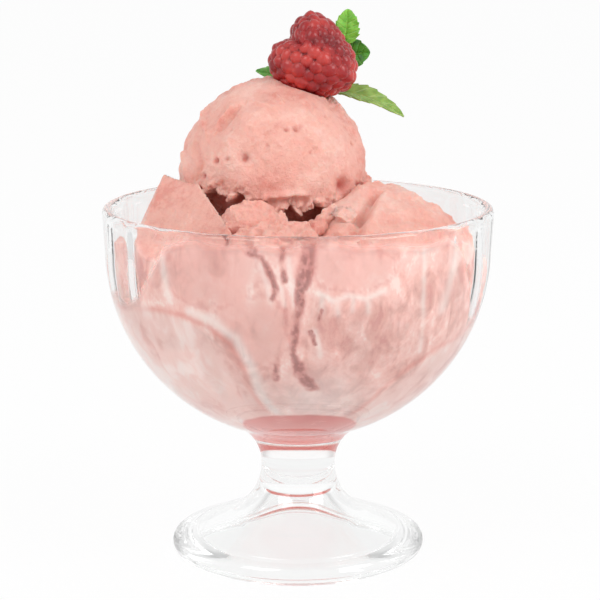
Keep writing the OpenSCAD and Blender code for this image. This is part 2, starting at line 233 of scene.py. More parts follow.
def eased(corner, before, after, radius):
    def towards(p):
        away = math.hypot(p[0] - corner[0], p[1] - corner[1])
        return tuple(c + (q - c) * min(0.45, radius / away) for c, q in zip(corner, p))
    a, b = towards(before), towards(after)
    return [tuple((1 - t) ** 2 * x + 2 * t * (1 - t) * c + t * t * y for x, c, y in zip(a, corner, b))
            for t in np.linspace(0, 1, 5)]


def glass_section():
    throat_r = ((BOWL_Z - WAIST_Z) ** 2 - BOWL_R ** 2 + STEM_R ** 2) / (2 * (BOWL_R - STEM_R))
    throat = (STEM_R + throat_r, WAIST_Z)
    lean = math.atan2(throat[1] - BOWL_Z, throat[0])
    flare = (STEM_R + FLARE_R, WAIST_Z)
    flare_end = (flare[0] - FLARE_R * math.sin(FALL), flare[1] - FLARE_R * math.cos(FALL))
    edge_top_x = FOOT_R - FOOT_EDGE_R + FOOT_EDGE_R * math.sin(FALL)
    edge_top = (edge_top_x, flare_end[1] - (edge_top_x - flare_end[0]) * math.tan(FALL))
    edge = (edge_top[0] - FOOT_EDGE_R * math.sin(FALL), edge_top[1] - FOOT_EDGE_R * math.cos(FALL))
    to_ring = (RING_R - edge[0], -edge[1])
    edge_low = math.atan2(to_ring[1], to_ring[0]) + math.acos(FOOT_EDGE_R / math.hypot(*to_ring))
    under_r = FLARE_R + FOOT_T
    under_end = (flare[0] - under_r * math.sin(FALL), flare[1] - under_r * math.cos(FALL))
    under_edge = (HOLLOW_R, under_end[1] - (HOLLOW_R - under_end[0]) * math.tan(FALL))
    under_top = math.pi - math.asin((HOLLOW_Z - flare[1]) / under_r)
    dome = (flare[0] + under_r * math.cos(under_top), HOLLOW_Z)
    ring_in = (HOLLOW_R + RING_STEP, 0)
    lip_z = RIM_Z - LIP_DROP
    points = arc((0, INNER_Z), INNER_R, -math.pi / 2, 0, 40)
    points += line((INNER_R, INNER_Z), (INNER_R, lip_z), 7)[1:]
    points += arc((RIM_R - LIP_ROUND, lip_z), LIP_ROUND, math.pi, 0, 13)[1:]
    points += line((RIM_R, lip_z), (BOWL_R, BOWL_Z), 6)[1:]
    points += arc((0, BOWL_Z), BOWL_R, 0, lean, 34)[1:]
    points += arc(throat, throat_r, lean + math.pi, math.pi, 12)[1:]
    points += arc(flare, FLARE_R, math.pi, 1.5 * math.pi - FALL, 12)[1:]
    points += line(flare_end, edge_top, 8)[1:]
    points += arc(edge, FOOT_EDGE_R, math.pi / 2 - FALL, edge_low, 12)[1:]
    points += eased((RING_R, 0), points[-1], ring_in, RING_EASE)
    points += eased(ring_in, (RING_R, 0), under_edge, STEP_EASE)
    points += eased(under_edge, ring_in, under_end, HOLLOW_EASE)
    rise = arc(flare, under_r, 1.5 * math.pi - FALL, under_top, 12)
    points += rise[:-1]
    points += eased(dome, rise[-2], (0, HOLLOW_Z), DOME_EASE)
    return points + [(dome[0] * 0.3, HOLLOW_Z), (0, HOLLOW_Z)]


def spun(name, section, steps):
    bpy.ops.object.select_all(action="DESELECT")
    bpy.ops.mesh.primitive_plane_add(size=0.002)
    made = bpy.context.object
    made.name = name
    bpy.ops.object.mode_set(mode="EDIT")
    bpy.ops.mesh.select_all(action="SELECT")
    bpy.ops.mesh.merge(type="CENTER")
    here = (0, 0)
    for count, point in enumerate(section):
        step = ((point[0] - here[0]) * MM, 0, (point[1] - here[1]) * MM)
        if count == 0:
            bpy.ops.transform.translate(value=step)
        else:
            bpy.ops.mesh.extrude_region_move(TRANSFORM_OT_translate={"value": step})
        here = point
    bpy.ops.mesh.select_all(action="SELECT")
    bpy.ops.mesh.spin(steps=steps, angle=2 * math.pi, center=(0, 0, 0), axis=(0, 0, 1))
    bpy.ops.mesh.select_all(action="SELECT")
    bpy.ops.mesh.remove_doubles(threshold=2e-6)
    bpy.ops.mesh.normals_make_consistent(inside=False)
    bpy.ops.object.mode_set(mode="OBJECT")
    bpy.ops.object.shade_smooth()
    return made


def points_of(piece):
    flat = np.empty(len(piece.data.vertices) * 3)
    piece.data.vertices.foreach_get("co", flat)
    return flat.reshape(-1, 3) / MM


def set_points(piece, points):
    piece.data.vertices.foreach_set("co", (points * MM).ravel())
    piece.data.update()


def eases(value, low, high):
    t = np.clip((value - low) / (high - low), 0, 1)
    return t * t * (3 - 2 * t)


def flute_depth(points):
    across = np.hypot(points[:, 0], points[:, 1])
    step = 2 * math.pi / FLUTES
    half = step / 2 * (1 - FLUTE_LAND / (2 * math.pi * INNER_R / FLUTES))
    swing = np.arctan2(points[:, 1], points[:, 0]) - math.radians(FLUTE_TURN)
    swing = (swing + step / 2) % step - step / 2
    hollowed = np.cos(np.clip(swing / half, -1, 1) * math.pi / 2) ** 1.3
    steep = np.clip(across / INNER_R, 0, 1) ** 3
    fade = 1 - eases(points[:, 2], RIM_Z - FLUTE_FADE_LOW, RIM_Z - FLUTE_FADE_HIGH)
    return FLUTE_DEPTH * hollowed * steep * fade


def rays(points, middle):
    way = points - middle
    size = np.maximum(np.linalg.norm(way, axis=1), 1e-6)
    return way / size[:, None], size


def off_wall(points):
    below = points - BOWL_MIDDLE
    below[:, 2] = np.minimum(below[:, 2], 0)
    return rays(below, 0)


def cloudy(tree, where, scale, detail=2.0, rough=0.5, stretch=1.0, twist=0.0):
    if stretch != 1.0:
        where = wired(tree, "ShaderNodeMapping", {"Vector": where, "Scale": (1, 1, stretch)})
    return wired(tree, "ShaderNodeTexNoise", {"Vector": where, "Scale": scale, "Detail": detail,
                                              "Roughness": rough, "Distortion": twist})


def bumped(tree, height, strength, deep):
    return wired(tree, "ShaderNodeBump", {"Height": height, "Strength": strength, "Distance": deep * MM})


glass = spun("glass_bowl_clear", glass_section(), FLUTES * STEPS_A_FLUTE)
co = points_of(glass)
out, far = off_wall(co)
inside = (np.abs(far - INNER_R) < 0.25) & (co[:, 2] > FLUTE_FLOOR_Z)
set_points(glass, co + out * (flute_depth(co) * inside)[:, None])

clear_glass = bpy.data.materials.new("clear_pressed_glass")
tree = cleared(clear_glass)
press_marks = bumped(tree, cloudy(tree, place_in(tree, "Object"), 70, 1.5), strength=0.12, deep=0.6)
body = wired(tree, "ShaderNodeBsdfPrincipled", {"Base Color": GLASS_TINT, "IOR": 1.5, "Roughness": 0.0,
                                                "Transmission Weight": 1, "Normal": press_marks})
lets_lamps_in = wired(tree, "ShaderNodeBsdfTransparent", {"Color": SHADOW_TINT})
in_shadow = add(tree, "ShaderNodeLightPath").outputs["Is Shadow Ray"]
shown(tree, between(tree, in_shadow, body, lets_lamps_in))
glass.data.materials.append(clear_glass)
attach(glass, "glass")
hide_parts("glass_bowl")

# Melted ice cream: a small pool in the bottom of the bowl and a smeared film that wets the inside of
# the wall: two pale lobes at the sides, runs and smears where the scoops press on the front. Its marks
# follow lines that are given in pixels of the photograph and laid on the wall.
MELT_IN = INNER_R - 0.55
MELT_STEPS, WALL_POINTS, INSIDE_POINTS = 400, 135, 50
INTO_GLASS = 0.05
POOL_Z = 41.6
FILM_TOP = math.radians(103)
POOL_EDGE = math.acos((INNER_Z - POOL_Z) / MELT_IN)
FRONT, FRONT_CROWD = 270, 0.75
FILM_EDGE = ((0, 70), (60, 68), (120, 68), (160, 74), (190, 79), (206, 80), (216, 83), (228, 99),
             (240, 101), (318, 101), (326, 96), (336, 74), (350, 71), (360, 70))
FILM_WAVES = ((1.2, 3, 20), (0.8, 8, 0), (0.6, 17, 50))
LOBE_RISE = ((0, 70), (180, 72), (204, 80), (234, 77), (240, 74), (246.6, 69), (251, 60), (255, 52),
             (262, 39), (270, 35), (285, 35), (292, 37.5), (298, 43.4), (313, 59), (336, 69), (350, 70),
             (360, 70))
POOL_LOW, POOL_HEAP, POOL_TURN, POOL_HALF = 42.4, 9.6, 271, 38
MIDDLE_PX, PX = 300, SENSOR / LENS / 600
LOBE_LEFT_PX = ((112, 300), (129, 304), (160, 307), (188, 313), (212, 326), (232, 341), (246, 366),
                (254, 388), (268, 406), (290, 416))
LOBE_RIGHT_PX = ((486, 300), (459, 326), (430, 345), (406, 363), (380, 384), (357, 404), (330, 416))
# Pale lines: the scallops, trickle and drips are real pale melt, while the edge band along the left lobe is a
# painted white highlight.
PALE_EDGE_PX = ((192, 309), (216, 320), (238, 336), (252, 362), (262, 390), (277, 408))
SCALLOPS_PX = ((318, 292), (333, 300), (347, 294), (365, 298), (383, 289))
TRICKLE_PX = ((262, 266), (268, 285), (271, 300))
DRIPS_PX = (((281, 285), (284, 303)), ((289, 258), (291, 284), (296, 305)), ((322, 296), (321, 310)),
            ((336, 298), (337, 312)), ((352, 296), (351, 309)), ((366, 299), (367, 311)),
            ((315, 330), (320, 352)))
# Painted highlights: glints of light on the flutes, painted into the film as pale streaks.
GLINTS_PX = ((((421, 236), (420, 300), (416, 348)), 0.8), (((456, 226), (450, 262), (438, 306)), 1.9),
             (((162, 228), (166, 262), (173, 298)), 1.5))
# Painted shade: the dark cleft between the scoops and the dark edges of the drips, painted into the film.
CLEFTS_PX = ((((309, 238), (306, 255), (301, 280), (300, 305), (296, 330), (293, 350), (300, 368),
               (311, 381)), 1.1),
             (((312, 240), (310, 262), (305, 285)), 1.5),
             (((250, 253), (262, 257), (270, 270), (275, 287), (273, 298)), 0.8),
             (((283, 246), (282, 262), (285, 280)), 0.7), (((276, 362), (278, 376)), 0.9),
             (((300, 362), (302, 378), (314, 384)), 1.3), (((250, 243), (256, 250)), 1.0),
             (((318, 318), (322, 309)), 0.5), (((311, 330), (314, 342)), 0.5))
PATCHES_PX = ((214, 272, 50, 30), (350, 266, 38, 24), (252, 330, 33, 34))
# A pale spot low on the front: partly frost, partly painted light that brightens the film where the lamps
# reach it less.
FROST_PX = (316, 396, 50, 24)
LOOK_UP = np.array([0, math.sin(VIEW_DOWN), math.cos(VIEW_DOWN)])
LOOK_BACK = np.array([0, -math.cos(VIEW_DOWN), math.sin(VIEW_DOWN)])
FILM_TONES = [(0.37, paint(232, 172, 163)), (0.46, paint(241, 190, 180)), (0.53, paint(246, 202, 193)),
              (0.62, paint(252, 224, 216))]
PATCH_TONES = [(0.35, paint(231, 174, 165)), (0.65, paint(238, 191, 182))]
LOBE_TONES = [(0.38, paint(236, 184, 175)), (0.5, paint(241, 204, 196)), (0.62, paint(248, 226, 220))]
# The cleft tones are painted shade; the other tones are the melt's own tints.
CLEFT_TONES = [(0.3, paint(222, 156, 148)), (0.95, paint(160, 92, 90))]
POOL_TONES = [(0.35, paint(214, 118, 111)), (0.65, paint(224, 144, 137))]
PATCH_RIM, FROST_WHITE = paint(214, 142, 134), paint(255, 228, 222)
LOBE_RIM, MILK = paint(228, 148, 136), paint(255, 240, 234)


def sight(px, py):
    return np.array([(px - MIDDLE_PX) * PX, 0, 0]) - LOOK_BACK + (MIDDLE_PX - py) * PX * LOOK_UP


def on_wall(px, py):
    way = sight(px, py)
    way /= np.linalg.norm(way)
    at = EYE - BOWL_MIDDLE
    b = at @ way
    hit = at + way * (-b - math.sqrt(max(b * b - at @ at + INNER_R ** 2, 0)))
    if hit[2] > 0:
        a, b = way[0] ** 2 + way[1] ** 2, at[0] * way[0] + at[1] * way[1]
        c = at[0] ** 2 + at[1] ** 2 - INNER_R ** 2
        hit = at + way * (-b - math.sqrt(max(b * b - a * c, 0))) / a
    return hit + BOWL_MIDDLE


def seen_at(points):
    away = points - EYE
    deep = -away @ LOOK_BACK
    return MIDDLE_PX + away[:, 0] / deep / PX, MIDDLE_PX - away @ LOOK_UP / deep / PX


def wall_place(around, rise, radius):
    low, high = np.minimum(rise, math.pi / 2), np.maximum(rise - math.pi / 2, 0)
    across = radius * np.sin(low)
    up = INNER_Z - radius * np.cos(low) + high * INNER_R
    return np.stack([across * np.cos(around), across * np.sin(around), up], axis=1)


def melt_section():
    def edge_of(rise, radius):
        return tuple(wall_place(np.zeros(1), np.array([rise]), radius)[0][[0, 2]])
    points = [edge_of(r, INNER_R) for r in np.linspace(0, FILM_TOP, WALL_POINTS)]
    points += [edge_of(r, MELT_IN) for r in np.linspace(FILM_TOP * 0.998, POOL_EDGE, INSIDE_POINTS)]
    pool_r = points[-1][0]
    return points + [(pool_r * t, POOL_Z) for t in (0.97, 0.9, 0.75, 0.5, 0.25, 0)]


def swell(points, size, octaves, shift):
    return np.array([noise.fractal(Vector(p) / size + Vector(shift), 0.9, 2.1, octaves) for p in points])


def waves(around, terms):
    return sum(high * np.sin(np.radians(around * count + shift)) for high, count, shift in terms)


def away_from(points, path):
    path = np.array(path, dtype=float)
    nearest = np.full(len(points), 1e9)
    for a, b in zip(path[:-1], path[1:]):
        along = b - a
        t = np.clip((points - a) @ along / max(along @ along, 1e-9), 0, 1)
        nearest = np.minimum(nearest, np.linalg.norm(points - a - t[:, None] * along, axis=1))
    return nearest


def away_from_seen(points, seen):
    return away_from(points, [on_wall(px, py) for px, py in seen])


def mark(piece, **marks):
    for name, values in marks.items():
        made = piece.data.attributes.new(name, "FLOAT", "POINT")
        made.data.foreach_set("value", values.astype(np.float32))


def marked(tree, name):
    return add(tree, "ShaderNodeAttribute", attribute_name=name).outputs["Fac"]


def stained(tree, tint, name, share, colour):
    return blend_colours(tree, maths(tree, "MULTIPLY", marked(tree, name), share), tint, colour)


melt = spun("melted_ice_cream", melt_section(), MELT_STEPS)
co = points_of(melt)
far = off_wall(co)[1]
across = np.hypot(co[:, 0], co[:, 1])
turn = np.degrees(np.arctan2(co[:, 1], co[:, 0])) % 360
closer = np.linspace(-180, 180, 721)
apart = closer + np.degrees(FRONT_CROWD * np.sin(np.radians(closer)))
turn = (FRONT + np.interp((turn - FRONT + 180) % 360 - 180, apart, closer)) % 360
around = np.radians(turn)
co = np.stack([across * np.cos(around), across * np.sin(around), co[:, 2]], axis=1)
rise = np.where(co[:, 2] > INNER_Z, math.pi / 2 + (co[:, 2] - INNER_Z) / INNER_R,
                np.arctan2(across, INNER_Z - co[:, 2]))
film_edge = np.radians(np.interp(turn, *zip(*FILM_EDGE)) + 0.8 * waves(turn, FILM_WAVES))
outer = far > INNER_R - 0.1
drawn_in = (film_edge - POOL_EDGE) / (FILM_TOP - POOL_EDGE)
rise = np.where(rise > POOL_EDGE, POOL_EDGE + (rise - POOL_EDGE) * drawn_in, rise)
flat_pool = ~outer & (co[:, 2] < POOL_Z + 0.05)
at_wall = wall_place(around, rise, INNER_R)
depth = np.where(outer, INNER_R + flute_depth(at_wall) + INTO_GLASS,
                 MELT_IN + 0.1 + 0.12 * swell(at_wall, 6, 2, (3, 1, 7)))
set_points(melt, np.where(flat_pool[:, None], co, wall_place(around, rise, depth)))

film = np.clip((film_edge - rise) / np.radians(6), 0, 1)
lobe = eases(np.radians(np.interp(turn, *zip(*LOBE_RISE))) - rise, -0.02, 0.03)
lobe_rim = np.minimum(away_from_seen(at_wall, LOBE_LEFT_PX), away_from_seen(at_wall, LOBE_RIGHT_PX))
edge_pink = np.exp(-(lobe_rim / 0.9) ** 2) * (0.6 + 0.4 * swell(at_wall, 9, 2, (4, 4, 1)))
# Real pale drips and runs, together with the painted highlight band and the painted flute glints.
pale_lines = [(PALE_EDGE_PX, 1.6, 1.0), (SCALLOPS_PX, 0.8, 1.0), (TRICKLE_PX, 0.9, 0.7)]
pale_lines += [(drip, 0.8, 0.8) for drip in DRIPS_PX]
pale_lines += [(glint, wide, 0.9) for glint, wide in GLINTS_PX]
pale_line = np.zeros(len(co))
for seen, wide, share in pale_lines:
    pale_line = np.maximum(pale_line, share * np.exp(-(away_from_seen(at_wall, seen) / wide) ** 2))
heap = np.sqrt(np.clip(1 - ((turn - POOL_TURN) / POOL_HALF) ** 2, 0, 1))
pool_top = POOL_LOW + POOL_HEAP * heap + 0.25 * swell(at_wall, 5, 2, (2, 5, 5))
pool = eases(pool_top - at_wall[:, 2], -0.35, 0.35)
ragged = 0.75 * swell(at_wall * np.array([1, 1, 0.6]), 3.0, 4, (6, 6, 2))
hollow = np.zeros(len(co))
for seen, wide in CLEFTS_PX:
    hollow = np.maximum(hollow, 1 - eases(away_from_seen(at_wall, seen) + ragged, -0.5 * wide, 2.2 * wide))
seen_x, seen_y = seen_at(at_wall)
facing = at_wall[:, 1] < 0
patch, patch_edge = np.zeros(len(co)), np.zeros(len(co))
for px, py, wide, tall in PATCHES_PX:
    spread = ((seen_x - px) / wide) ** 2 + ((seen_y - py) / tall) ** 2
    spread += 0.5 * swell(at_wall, 5, 3, (px, 2, 8))
    patch = np.maximum(patch, facing * (1 - eases(spread, 0.75, 1.05)))
    patch_edge = np.maximum(patch_edge, facing * np.exp(-((spread - 1.12) / 0.13) ** 2))
patch_edge *= 1 - patch
px, py, wide, tall = FROST_PX
frosty = facing * np.exp(-((seen_x - px) / wide) ** 2 - ((seen_y - py) / tall) ** 2)
mark(melt, patch=patch, patch_edge=patch_edge, frosty=frosty, film=film, lobe=lobe, edge_pink=edge_pink,
     pale_line=pale_line, hollow=hollow, pool=pool)

melt_finish = bpy.data.materials.new("melted_ice_cream")
tree = cleared(melt_finish)
where = place_in(tree, "Object")
runs = cloudy(tree, where, 210, 5, stretch=0.55, twist=0.6)
clouds = cloudy(tree, where, 45, 3)
specks = cloudy(tree, where, 620, 3, stretch=0.8)
fine = cloudy(tree, where, 1500, 2, stretch=0.7)
mixed = summed(tree, -0.08, (runs, 0.55), (specks, 0.2), (clouds, 0.25), (fine, 0.16))
smear = summed(tree, 0.0, (runs, 0.4), (clouds, 0.6))
on_front = stained(tree, ramp(tree, mixed, FILM_TONES), "patch", 0.75, ramp(tree, clouds, PATCH_TONES))
on_front = stained(tree, on_front, "patch_edge", 0.4, PATCH_RIM)
# Partly frost, partly painted light: the low front spot is turned nearly white.
on_front = stained(tree, on_front, "frosty", 0.85, FROST_WHITE)
on_lobe = marked(tree, "lobe")
tint = blend_colours(tree, on_lobe, on_front, ramp(tree, smear, LOBE_TONES))
tint = stained(tree, tint, "edge_pink", 0.9, LOBE_RIM)
# Pale drips and runs, with the painted highlight band and painted flute glints, all in one near-white tint.
tint = stained(tree, tint, "pale_line", 0.75, MILK)
# Painted shade: the clefts and drip edges darken the film towards a deep mauve.
in_cleft = marked(tree, "hollow")
cleft = maths(tree, "MULTIPLY", in_cleft, ramp(tree, specks, [(0.36, 0.55), (0.56, 1.0)]))
cleft_share = ramp(tree, cleft, [(0.05, 0.0), (0.55, 0.85)])
tint = blend_colours(tree, cleft_share, tint, ramp(tree, cleft, CLEFT_TONES))
in_pool = marked(tree, "pool")
tint = blend_colours(tree, in_pool, tint, ramp(tree, clouds, POOL_TONES))
patchy = maths(tree, "MULTIPLY", ramp(tree, smear, [(0.36, 0.7), (0.54, 0.97)]),
               ramp(tree, in_cleft, [(0.1, 1.0), (0.8, 0.8)]))
lobe_cover = maths(tree, "MULTIPLY", on_lobe, ramp(tree, smear, [(0.36, 0.8), (0.5, 0.96)]))
cover = maths(tree, "MULTIPLY", ramp(tree, marked(tree, "film"), [(0.0, 0.0), (0.8, 1.0)]),
              maths(tree, "MAXIMUM", patchy, lobe_cover))
cream = wired(tree, "ShaderNodeBsdfPrincipled", {
    "Base Color": tint, "Roughness": 0.4, "Subsurface Weight": 0.25, "Subsurface Scale": 0.0015,
    "Subsurface Radius": (1.0, 0.5, 0.4)})
gap = wired(tree, "ShaderNodeBsdfTransparent", {})
shown(tree, between(tree, maths(tree, "MAXIMUM", cover, in_pool), gap, cream))
melt.data.materials.append(melt_finish)
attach(melt, "glass")
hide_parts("melt")

# Scoops in the bowl: four lumps of raspberry ice cream, pressed against the glass, each other and
# the scoop on top. A ball is fused with the torn bits round it, then worked by scoop and pressure.
WALL_R = 52.0
REST_R = 51.6
NEST_R, NEST_GAP = 28.1, 0.3
MATE_GAP = 0.15
PRESS, MIDDLE_PRESS = 7.0, 4.0
TOP_AT, TOP_R = np.array([-7, -2, 113.5]), 26.5
LEFT_R, RIGHT_R, REAR_R, MIDDLE_R = 30.5, 29.5, 27.0, 17.0
SQUEEZE = 0.35
FAR = 1e3
CREAM_TONES = [(0.37, paint(230, 158, 145)), (0.5, paint(242, 183, 169)), (0.62, paint(248, 200, 187))]
PRESSED_TONES = [(0.36, paint(212, 144, 138)), (0.46, paint(236, 178, 168)), (0.54, paint(246, 202, 192)),
                 (0.66, paint(250, 218, 209))]
# Painted shade for the pits and the tuck under the top scoop's hem.
CREVICE_RED = paint(196, 84, 74)


def heading(around, tilt):
    around, tilt = math.radians(around), math.radians(tilt)
    return np.array([math.cos(tilt) * math.cos(around), math.cos(tilt) * math.sin(around), math.sin(tilt)])


def lump_at(around, radius, fall, press):
    return BOWL_MIDDLE + (REST_R - radius + press) * heading(around, -fall)


LEFT_AT = lump_at(228, LEFT_R, 2, PRESS)
RIGHT_AT = lump_at(319, RIGHT_R, 20, PRESS)
REAR_AT = lump_at(95, REAR_R, 20, PRESS)
MIDDLE_AT = lump_at(259, MIDDLE_R, 5, MIDDLE_PRESS)
LUMPS = ((LEFT_AT, LEFT_R), (RIGHT_AT, RIGHT_R), (REAR_AT, REAR_R), (MIDDLE_AT, MIDDLE_R))


def ball(name, middle, radius, cuts):
    bpy.ops.object.select_all(action="DESELECT")
    bpy.ops.mesh.primitive_ico_sphere_add(subdivisions=cuts, radius=radius * MM, location=Vector(middle) * MM)
    made = bpy.context.object
    made.name = name
    bpy.ops.object.transform_apply(location=True, rotation=True, scale=True)
    return made


def squeezed(piece, middle):
    co = points_of(piece)
    way = rays(co, middle)[0]
    outward = np.array([middle[0], middle[1], 0]) / np.hypot(middle[0], middle[1])
    more = SQUEEZE * np.clip((0.45 - way[:, 2]) / 0.6, 0, 1) * np.clip(way @ outward + 0.3, 0, 1)
    set_points(piece, middle + (co - middle) * (1 + more)[:, None])
    return piece


def torn_bit(middle, size, flat, turn, cuts=3):
    bpy.ops.object.select_all(action="DESELECT")
    bpy.ops.mesh.primitive_ico_sphere_add(subdivisions=cuts, radius=MM, location=Vector(middle) * MM,
                                          rotation=turn, scale=(size, size * 0.8, size * flat))
    bit = bpy.context.object
    bpy.ops.object.transform_apply(location=True, rotation=True, scale=True)
    return bit


def any_turn(chance):
    return (chance.uniform(0, 3), chance.uniform(0, 3), chance.uniform(0, 3))


def bits_round(middle, radius, count, low, high, start, end, seed):
    chance = random.Random(seed)
    bits = []
    for _ in range(count):
        way = heading(chance.uniform(start, end), chance.uniform(low, high))
        turn = any_turn(chance)
        bits.append(torn_bit(middle + way * radius * chance.uniform(0.93, 0.99), chance.uniform(1.6, 4.5),
                             chance.uniform(0.5, 0.9), turn))
    return bits


def fused(piece, bits, voxel):
    bpy.ops.object.select_all(action="DESELECT")
    for bit in bits:
        bit.select_set(True)
    piece.select_set(True)
    bpy.context.view_layer.objects.active = piece
    if bits:
        bpy.ops.object.join()
    piece.data.remesh_voxel_size = voxel * MM
    bpy.ops.object.voxel_remesh()
    return piece


def spot(middle, radius, right, up):
    toward = math.sqrt(max(0, radius * radius - right * right - up * up))
    return middle + np.array([right, 0, 0]) + up * LOOK_UP + toward * LOOK_BACK


def scored(points, middle, path, wide, deep):
    outward = rays(points, middle)[0]
    return points - outward * (deep * np.exp(-(away_from(points, path) / wide) ** 2))[:, None]


def unit(way):
    return np.array(way) / np.linalg.norm(way)


def sliced(points, at, facing):
    facing = unit(facing)
    return points - facing * np.maximum((points - at) @ facing, 0)[:, None]


def stepped(points, at, facing, floor_at, floor_facing, soft):
    floor_facing = unit(floor_facing)
    beyond = eases((points - at) @ unit(facing), 0, soft)
    over = np.maximum((points - floor_at) @ floor_facing, 0)
    return points - floor_facing * (over * beyond)[:, None]


def creased(points, size, shift):
    return np.array([noise.ridged_multi_fractal(Vector(p) / size + Vector(shift), 1.0, 2.0, 3, 1.0, 2.0)
                     for p in points])


def worked(points, middle, seed, big, small, torn):
    outward = rays(points, middle)[0]
    rough = eases(swell(points, 13, 2, (seed, 3, 1)), 0.0, 0.45)
    lift = (big * swell(points, 17, 2, (seed, 0, 0)) + 0.5 * big * swell(points, 7, 2, (1, seed, 5))
            + (small + torn * rough) * swell(points, 2.6, 4, (0, seed, 0)))
    return points + outward * lift[:, None]


def to_wall(middle, way):
    from_bowl = middle - BOWL_MIDDLE
    b = way @ from_bowl
    ball_reach = -b + np.sqrt(np.maximum(b * b - from_bowl @ from_bowl + WALL_R ** 2, 0))
    a = np.maximum(way[:, 0] ** 2 + way[:, 1] ** 2, 1e-6)
    c = way[:, 0] * middle[0] + way[:, 1] * middle[1]
    beyond = middle[0] ** 2 + middle[1] ** 2 - WALL_R ** 2
    tube_reach = (-c + np.sqrt(np.maximum(c * c - a * beyond, 0))) / a
    return np.where(middle[2] + ball_reach * way[:, 2] > INNER_Z, tube_reach, ball_reach)


def to_mate(middle, radius, mate, mate_r, way):
    between_us = mate - middle
    apart = np.linalg.norm(between_us)
    side = way @ (between_us / apart)
    gap = (apart ** 2 + radius ** 2 - mate_r ** 2) / (2 * apart)
    gap = np.clip(gap, 0.15 * apart, 0.85 * apart) - MATE_GAP
    return np.where(side > 0.01, gap / np.maximum(side, 0.01), FAR)


def to_ball(middle, way, other, radius):
    b = way @ (other - middle)
    q = b * b - (other - middle) @ (other - middle) + radius * radius
    return np.where((b > 0) & (q > 0), b - np.sqrt(np.maximum(q, 0)), FAR)


def pressed(points, middle, radius, drips):
    way, size = rays(points, middle)
    wall = to_wall(middle, way)
    at_wall = middle + way * wall[:, None]
    runs = 1 - 2.4 * np.abs(swell(at_wall * np.array([1, 1, 0.45]), 9, 4, (2, 8, radius)))
    where = eases(swell(at_wall, 17, 2, (7, 2, radius)), -0.15, 0.35)
    pockets = drips * eases(runs, 0.35, 0.95) * where
    limit = np.minimum(wall - pockets, to_ball(middle, way, TOP_AT, NEST_R + NEST_GAP))
    for mate, mate_r in LUMPS:
        if mate is not middle:
            limit = np.minimum(limit, to_mate(middle, radius, mate, mate_r, way))
    return middle + way * np.minimum(size, limit)[:, None]


ice_cream = bpy.data.materials.new("raspberry_ice_cream")
tree = cleared(ice_cream)
where = place_in(tree, "Object")
clouds = cloudy(tree, where, 60, 3)
flecks = cloudy(tree, where, 520, 6, rough=0.72)
ice = cloudy(tree, where, 1900, 2, rough=0.6)
runs = cloudy(tree, where, 150, 5, stretch=0.5, twist=1.2)
tint = ramp(tree, summed(tree, 0.0, (clouds, 0.6), (flecks, 0.4)), CREAM_TONES)
# Painted shade: pits and the tuck under the hem are darkened to a deep red.
tint = stained(tree, tint, "crevice", 0.8, CREVICE_RED)
tint = stained(tree, tint, "frost", 0.85, ramp(tree, runs, PRESSED_TONES))
grain = bumped(tree, summed(tree, 0.0, (ice, 0.45), (flecks, 0.7)), strength=0.75, deep=1.3)
shown(tree, wired(tree, "ShaderNodeBsdfPrincipled", {
    "Base Color": tint, "Subsurface Weight": 0.6, "Subsurface Scale": 0.0018,
    "Subsurface Radius": (1.0, 0.42, 0.32), "IOR": 1.36,
    "Roughness": ramp(tree, ice, [(0.35, 0.42), (0.65, 0.68)]), "Normal": grain}))


def frosted(points):
    return eases(off_wall(points)[1], WALL_R - 1.0, WALL_R - 0.15)


def dressed(piece, node, points, frost, crevice):
    set_points(piece, points)
    mark(piece, frost=frost, crevice=crevice)
    piece.data.materials.clear()
    piece.data.materials.append(ice_cream)
    bpy.ops.object.select_all(action="DESELECT")
    piece.select_set(True)
    bpy.context.view_layer.objects.active = piece
    bpy.ops.object.shade_smooth()
    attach(piece, "dessert")
    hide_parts(node)


# Left scoop: a ball of ice cream whose face was sliced smooth by the scoop's blade. The face ends in
# a crest and a crisp edge over a cleft, both placed by pixels of the photograph.
FACE_N = np.array([-0.506, -0.614, 0.606])
FACE_AT = LEFT_AT + 20.2 * FACE_N
CREST_PX, EDGE_TOP_PX, EDGE_LOW_PX = (181, 176), (191, 172), (233, 234)
SIDE_TOP_PX, SIDE_LOW_PX = (163, 176), (144, 224)
SIDE_CUT, SIDE_LOW_Z, SIDE_HIGH_Z = 0.8, 93, 101
CLEFT_RUN = (0.3, 0.95, -0.1)
CLEFT_FLOOR_AT, CLEFT_FLOOR_N = LEFT_AT + np.array([0, 0, 9.5]), (0.2, -0.1, 0.97)


def on_face(px, py):
    way = sight(px, py)
    return EYE + way * ((FACE_AT - EYE) @ FACE_N / (way @ FACE_N))


left = squeezed(ball("scoop_left_ice_cream", LEFT_AT, LEFT_R, 6), LEFT_AT)
crest = on_face(*CREST_PX) - 8 * FACE_N
bits = bits_round(LEFT_AT, LEFT_R * 1.08, count=40, low=-50, high=0, start=180, end=320, seed=3)
bits.append(torn_bit(crest, size=9.5, flat=0.9, turn=(0.2, 0.3, 0.9), cuts=4))
left = fused(left, bits, voxel=0.6)
co = worked(points_of(left), LEFT_AT, seed=5, big=1.0, small=0.2, torn=0.4)
co = sliced(co, FACE_AT, FACE_N)
edge_at = on_face(*EDGE_TOP_PX)
cleft_n = np.cross(on_face(*EDGE_LOW_PX) - edge_at, CLEFT_RUN)
cleft_n *= np.sign(cleft_n[0])
side_n = unit(np.cross(sight(*SIDE_TOP_PX), sight(*SIDE_LOW_PX)))
side_n *= -np.sign(side_n[0])
over = SIDE_CUT * np.maximum((co - EYE) @ side_n, 0) * eases(co[:, 2], SIDE_LOW_Z, SIDE_HIGH_Z)
co = stepped(co - over[:, None] * side_n, edge_at, cleft_n, CLEFT_FLOOR_AT, CLEFT_FLOOR_N, soft=1.2)
set_points(left, co)
left = fused(left, [], voxel=0.5)
